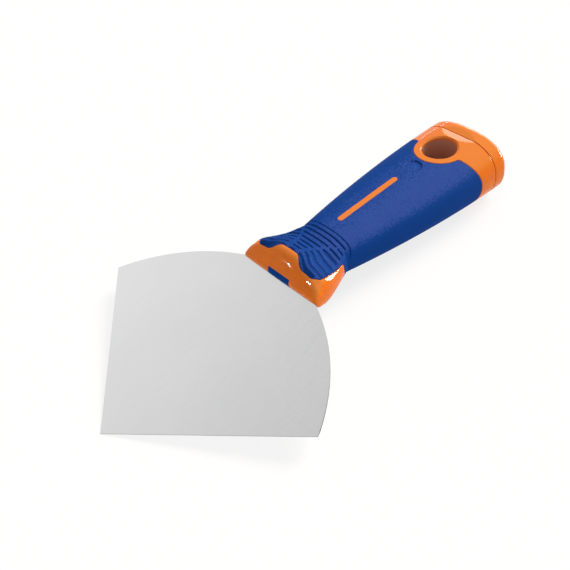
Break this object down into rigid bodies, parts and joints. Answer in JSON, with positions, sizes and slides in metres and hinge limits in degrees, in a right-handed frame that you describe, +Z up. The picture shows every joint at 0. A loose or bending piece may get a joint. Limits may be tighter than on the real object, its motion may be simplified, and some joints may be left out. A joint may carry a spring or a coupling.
{
  "type": "putty knife",
  "caption": "Flexible putty knife: a pointed spring steel blade set at a small angle in a moulded handle with a ribbed soft grip, a hanging hole and a pull-off end cap.",
  "frame": {"origin": "middle of the knife's outline on the table that it lies on", "axes": "+Y along the handle towards the end cap, +Z up out of the upper face, +X across to the right"},
  "size_m": [0.14, 0.2232, 0.031],
  "materials": {
    "blade": "satin ground spring steel",
    "core": "glossy moulded polypropylene, orange",
    "grip": "fine spark-textured thermoplastic elastomer, blue",
    "plug": "smooth thermoplastic elastomer, dark blue",
    "cap": "glossy moulded polypropylene, orange"
  },
  "bodies": {
    "knife": {"blade": "blade", "handle_core": "core", "soft_grip": "grip", "lock_plug": "plug"},
    "cap": {"end_cap": "cap"}
  },
  "joints": [
    {"name": "cap_pull", "type": "slide", "parent": "knife", "child": "cap", "axis": [0, 1, -0.0098], "range_m": [0, 0.02]}
  ]
}
